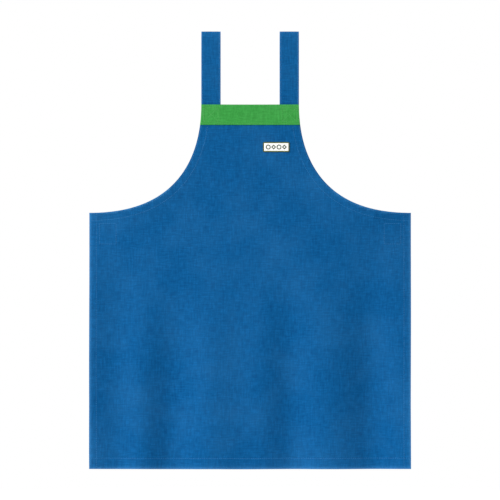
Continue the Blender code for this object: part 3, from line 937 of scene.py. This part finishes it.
def makeWebbing(name, points, owner, node):
    path = beltPath(points)
    return path, makeBandPiece(name, path, webbing["width"], webbing["thick"], tape, owner, node,
                               webbing["cell"], webbing["width"] / 2 - webbing["groove"])


mainPath, mainBelt = makeWebbing("belt_webbing", mainBeltLine(), "apron", "belt_main")
shortPath, shortBelt = makeWebbing("short_belt_webbing", shortBeltLine(), "short_belt", "belt_short")

tabPieces, patchPieces, tabPaths = [], [], {}
for side, sign in sides.items():
    front = 0.0001 - webbing["fold"]
    layers = ((sign * front, 80, 0.033), (sign * (front + 2 * webbing["layer"]), 50, 0.033))
    line = foldLine((sign * panelBar, ringY), (sign, 0), *(layers if sign > 0 else layers[::-1]))
    tabPaths[side], piece = makeWebbing(f"tab_webbing_{side}", line, "apron", "waist_tab_" + side)
    tabPieces.append(piece)
    low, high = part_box("waist_patch_" + side)
    outline = roundRectangle(low.x, high.x, low.z, high.z, 0.003)
    bm = cutFlat(outline, *gridCuts(outline, 0.006))
    thicken(bm, *depthOf("waist_patch_" + side))
    patchPieces.append(finishPiece(bm, f"patch_cloth_{side}", onDrape, blueCloth, replaced=["waist_patch_" + side]))
print("belt")


# stitching, with distances in from the cloth's edges
sewing = {"end": 0.004, "hem": 0.003, "side": 0.0025, "facing": 0.0035, "band": 0.003, "strapEnd": 0.006,
          "box": 0.005, "boxLength": 0.017, "tabBox": 0.019, "patch": 0.0035}


def sewBody():
    frontDepth = -body["thick"] / 2 - thread["proud"]
    hemDepth = body["thick"] / 2 + body["hemThick"] + thread["proud"]
    facingDepth = sum(depthOf("armhole_facing_right")) + thread["proud"]
    wide, low = body["halfSkirt"] - sewing["end"], body["hemZ"] + sewing["end"]
    hemTop = body["hemZ"] + body["bottomHem"] - sewing["hem"]
    lines = [([(-wide, hemTop), (wide, hemTop)], hemDepth)]
    for sign in (-1, 1):
        x = sign * (body["halfSkirt"] - body["sideHem"] + sewing["side"])
        lines.append(([(x, low), (x, body["cornerZ"] - 0.002)], hemDepth))
    for inset in (sewing["facing"], body["facingWidth"] - 0.003):
        line = armholeEdge(firstDrop=bandHigh.z - bandLow.z + 0.002, inset=inset)
        lines += [(line, facingDepth), (mirrored(line), facingDepth)]
    front = [turn for line, _ in lines for turn in sewLine(line, frontDepth)]
    back = [turn for line, depth in lines for turn in sewLine(line, depth)]
    return [finishPiece(repeated(stitchShape, turns), name, onDrape, blueSewing)
            for turns, name in ((front, "body_stitches_front"), (back, "body_stitches_back"))]


def sewBand():
    depth = depthOf("bib_band")[0] - thread["proud"]
    low, high = bandLow.z + sewing["band"], bandHigh.z - sewing["band"]
    turns = []
    for z in (low, high):
        wide = halfWidthAt(z) - sewing["band"]
        turns += sewLine([(-wide, z), (wide, z)], depth)
    for sign in (-1, 1):
        edge = armholeEdge(firstDrop=sewing["band"], lastDrop=bandHigh.z - low, inset=sewing["band"], count=8)
        turns += sewLine([(sign * p.x, p.y) for p in edge], depth)
        left, right = sorted((sign * (strapLow.x + sewing["strapEnd"]), sign * (strapHigh.x - sewing["strapEnd"])))
        turns += sewBox(left, right, low + sewing["box"], high - sewing["box"], depth)
    return finishPiece(repeated(stitchShape, turns), "band_stitches", onDrape, greenSewing)


def sewStraps():
    pieces = []
    x = strap["width"] / 2 - strap["edgeStitch"]
    for side, path in strapPaths.items():
        first, last = sewing["end"], path["at"][-1] - sewing["end"]
        turns = []
        for depth in (-strap["thick"] / 2, strap["thick"] / 2):
            for sign in (-1, 1):
                turns += sewLine([(sign * x, first), (sign * x, last)], depth * 0.86)  # they sit in the groove
            turns += sewLine([(-x, last), (x, last)], depth)
        pieces.append(finishPiece(repeated(stitchShape, turns), f"strap_stitches_{side}", onPath(path), blueSewing))
    return pieces


def foldMiddle(path, bar):
    away = np.linalg.norm(path["line"][:, :2] - np.array(bar), axis=1)
    near = [i for i in range(1, len(away) - 1) if away[i] < webbing["fold"] * 1.3]
    return path["at"][near[len(near) // 2]], near[len(near) // 2]


def outerSide(path, bar, index):
    normal = np.cross(path["across"], path["along"][index])
    return 1 if np.dot(normal[:2], path["line"][index][:2] - np.array(bar)) > 0 else -1


def sewBelts():
    half = webbing["width"] / 2 - sewing["box"]
    surface = webbing["thick"] / 2 + thread["proud"]
    first, shortEnd = sewing["end"], shortPath["at"][-1] - sewing["end"]
    jobs = (
        ("belt_stitches", mainPath, "apron", (((eyeBeltBar, eyeY), mainPath["at"][-1] - first),)),
        ("short_belt_stitches", shortPath, "short_belt", (((hookBar, hookY), first), ((beltBar, ringY), shortEnd))),
    )
    pieces = []
    for name, path, owner, folds in jobs:
        turns = []
        for bar, end in folds:
            middle, index = foldMiddle(path, bar)
            depth = outerSide(path, bar, index) * surface
            inner = end + math.copysign(sewing["boxLength"], middle - end)
            for places in ((end, inner), (2 * middle - end, 2 * middle - inner)):
                turns += sewBox(-half, half, min(places), max(places), depth)
        if path is mainPath:  # the tail's end
            for side in (-1, 1):
                turns += sewLine([(-half - 0.001, first), (half + 0.001, first)], side * surface)
        pieces.append(finishPiece(repeated(stitchShape, turns), name, onPath(path), tapeSewing, owner))
    return pieces


def sewTabs():
    pieces = []
    half = webbing["width"] / 2 - sewing["box"]
    for side, sign in sides.items():
        path, bar = tabPaths[side], (sign * panelBar, ringY)
        outer = outerSide(path, bar, foldMiddle(path, bar)[1])
        near, far = sewing["end"], sewing["end"] + sewing["tabBox"]
        if path["line"][-1][1] > path["line"][0][1]:
            near, far = path["at"][-1] - far, path["at"][-1] - near
        turns = sewBox(-half, half, near, far, outer * (webbing["thick"] / 2 + thread["proud"]))
        pieces.append(finishPiece(repeated(stitchShape, turns), f"tab_stitches_{side}", onPath(path), tapeSewing))
        low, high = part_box("waist_patch_" + side)
        inset = sewing["patch"]
        corners = rectangle(low.x + inset, high.x - inset, low.z + inset, high.z - inset)
        turns = sewLine(corners, -body["thick"] / 2 - thread["proud"], closed=True)
        turns += sewLine(corners, sum(depthOf("waist_patch_" + side)) + thread["proud"], closed=True)
        pieces.append(finishPiece(repeated(stitchShape, turns), f"patch_stitches_{side}", onDrape, blueSewing))
    return pieces


stitchPieces = sewBody()
bandStitches = sewBand()
beltStitches = sewBelts()
tabStitches = sewTabs()
strapStitches = sewStraps()
print("stitches")


# rings: a round wire, pushed along each side and spun round each corner
ringCorner = 0.004


def makeRing(name, node, owner):
    low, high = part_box(node)
    wide, tall = high.x - low.x - 2 * (wire + ringCorner), high.z - low.z - 2 * (wire + ringCorner)
    bm = bmesh.new()
    start = Matrix.Translation((wide / 2 + ringCorner, 0, -tall / 2))
    ring = bmesh.ops.create_circle(bm, segments=16, radius=wire, matrix=start)["verts"]
    edges = list({e for v in ring for e in v.link_edges})
    for side, length in enumerate((tall, wide, tall, wide)):
        turn = side * math.pi / 2
        grown = bmesh.ops.extrude_edge_only(bm, edges=edges)["geom"]
        verts = only(bmesh.types.BMVert, grown)
        edges = [e for e in only(bmesh.types.BMEdge, grown) if all(v in verts for v in e.verts)]
        bmesh.ops.translate(bm, verts=verts, vec=Vector((-math.sin(turn), 0, math.cos(turn))) * length)
        pivot = Vector((wide / 2 if side in (0, 3) else -wide / 2, 0, tall / 2 if side in (0, 1) else -tall / 2))
        spun = bmesh.ops.spin(bm, geom=edges, cent=pivot, axis=(0, -1, 0), angle=math.pi / 2, steps=8)
        edges = only(bmesh.types.BMEdge, spun["geom_last"])
    bmesh.ops.remove_doubles(bm, verts=bm.verts, dist=1e-5)
    bmesh.ops.translate(bm, verts=bm.verts, vec=(low + high) / 2)
    bmesh.ops.recalc_face_normals(bm, faces=bm.faces)
    return finishPiece(bm, name, None, metal, owner, [node])


makeRing("ring_wire_left", "waist_ring_left", "apron")
makeRing("ring_wire_right", "waist_ring_right", "right_ring")
makeRing("eye_wire", "eye_ring", "eye")
print("rings")

# slides and hook
fitting = {"rounding": 0.0004, "corner": 0.0032, "cornerPlanes": 5}
flatAngle = math.radians(1)


# each corner is trimmed by planes that touch its arc
def roundCorners(bm, wide, long):
    radius, planes = fitting["corner"], fitting["cornerPlanes"]
    for sideX, sideZ in ((-1, -1), (-1, 1), (1, -1), (1, 1)):
        centre = Vector((sideX * (wide / 2 - radius), 0, sideZ * (long / 2 - radius)))
        for i in range(planes):
            angle = math.pi / 2 * (i + 0.5) / planes
            outwards = Vector((sideX * math.cos(angle), 0, sideZ * math.sin(angle)))
            every = bm.verts[:] + bm.edges[:] + bm.faces[:]
            cut = bmesh.ops.bisect_plane(bm, geom=every, dist=1e-7, plane_co=centre + outwards * radius,
                                         plane_no=outwards, clear_outer=True)
            bmesh.ops.holes_fill(bm, edges=only(bmesh.types.BMEdge, cut["geom_cut"]), sides=0)


def makeFitting(node, name, owner, turned=None):
    bm = bmesh.new()
    bm.from_mesh(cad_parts[node].data)
    bmesh.ops.remove_doubles(bm, verts=bm.verts, dist=1e-5)
    bmesh.ops.dissolve_limit(bm, angle_limit=flatAngle, verts=bm.verts, edges=bm.edges)
    if turned is not None:
        low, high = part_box(node)
        place = Matrix.Translation((low + high) / 2) @ turned
        bmesh.ops.transform(bm, matrix=place.inverted(), verts=bm.verts)
        wide, _, long = (max(v.co[k] for v in bm.verts) - min(v.co[k] for v in bm.verts) for k in range(3))
        roundCorners(bm, wide, long)
        bmesh.ops.transform(bm, matrix=place, verts=bm.verts)
        bmesh.ops.dissolve_limit(bm, angle_limit=flatAngle, verts=bm.verts, edges=bm.edges)
        bmesh.ops.remove_doubles(bm, verts=bm.verts, dist=1e-5)
    bm.normal_update()
    roundEdges(bm, fitting["rounding"], segments=3)
    piece = finishPiece(bm, name, None, metal, owner, [node])
    piece.modifiers.new("evenShading", "WEIGHTED_NORMAL").keep_sharp = True


upright = Matrix.Identity(4)
free = mainPath["line"][len(mainPath["line"]) // 4:]  # the belt's straight run, which its slide sits on
along = Vector(free[200] - free[0]).normalized()
alongBelt = Matrix(((0, along.y, along.x), (0, -along.x, along.y), (1, 0, 0))).to_4x4()
makeFitting("strap_slider_left", "strap_glide_left", "left_strap_slider", upright)
makeFitting("strap_slider_right", "strap_glide_right", "right_strap_slider", upright)
makeFitting("belt_slider", "belt_glide", "main_belt_slider", alongBelt)
makeFitting("belt_hook", "hook_plate", "short_belt")
print("fittings")


# stage
def makeStage():
    material, tree, shader = newMaterial("palePaper")
    shader.inputs["Base Color"].default_value = linear("#F7F7F7")
    shader.inputs["Roughness"].default_value = 0.9
    shader.inputs["Specular IOR Level"].default_value = 0.1
    # the paper runs out into the white of the room
    place = addNode(tree, "TexCoord").outputs["Object"]
    flatPlace = addNode(tree, "VectorMath", {"operation": "MULTIPLY", 1: (1, 1, 0)}, {0: place})
    away = addNode(tree, "VectorMath", {"operation": "LENGTH"}, {0: flatPlace.outputs[0]})
    share = addNode(tree, "MapRange", {"interpolation_type": "SMOOTHSTEP", "From Min": 0.5, "From Max": 1.5},
                    {"Value": away.outputs["Value"]})
    glow = addNode(tree, "Emission", {"Color": white, "Strength": 1.0})
    mixed = addNode(tree, "MixShader", links={0: share.outputs[0], 1: shader.outputs[0], 2: glow.outputs[0]})
    feed(tree, tree.nodes["Material Output"], {"Surface": mixed.outputs[0]})
    bm = bmesh.new()
    bmesh.ops.create_grid(bm, x_segments=1, y_segments=1, size=15)
    bmesh.ops.translate(bm, verts=bm.verts, vec=(0, 0, body["hemZ"] - 0.11))
    floor = addObject("floor", meshFrom(bm, "floor"))
    floor.data.materials.append(material)
    world = bpy.data.worlds.new("whiteRoom")
    bpy.context.scene.world = world
    world.use_nodes = True
    background = world.node_tree.nodes["Background"]
    background.inputs["Color"].default_value = white
    background.inputs["Strength"].default_value = 1.0


def addLight(name, place, target, size, power):
    data = bpy.data.lights.new(name, "AREA")
    data.size = size
    data.energy = power
    light = addObject(name, data)
    light.location = place
    light.rotation_euler = (Vector(target) - Vector(place)).to_track_quat("-Z", "Y").to_euler()


view = {"lens": 400, "sensor": 36, "shown": 1.2438, "x": -0.0003}  # shown is the height in view, in metres


def makeCamera():
    data = bpy.data.cameras.new("camera")
    data.lens, data.sensor_width = view["lens"], view["sensor"]
    camera = addObject("camera", data)
    away = view["shown"] * view["lens"] / view["sensor"]
    camera.location = (view["x"], panelLow.y - away, (cadBox[0][2] + cadBox[1][2]) / 2)
    camera.rotation_euler = (math.pi / 2, 0, 0)
    bpy.context.scene.camera = camera


makeStage()
addLight("key", (-3.6, -1.8, 1.6), (0, 0, -0.55), 0.9, 270)
addLight("backFill", (3.5, 1.9, 1.6), (0, 0, -0.55), 1.2, 220)
makeCamera()
bpy.context.scene.view_settings.view_transform = "Standard"
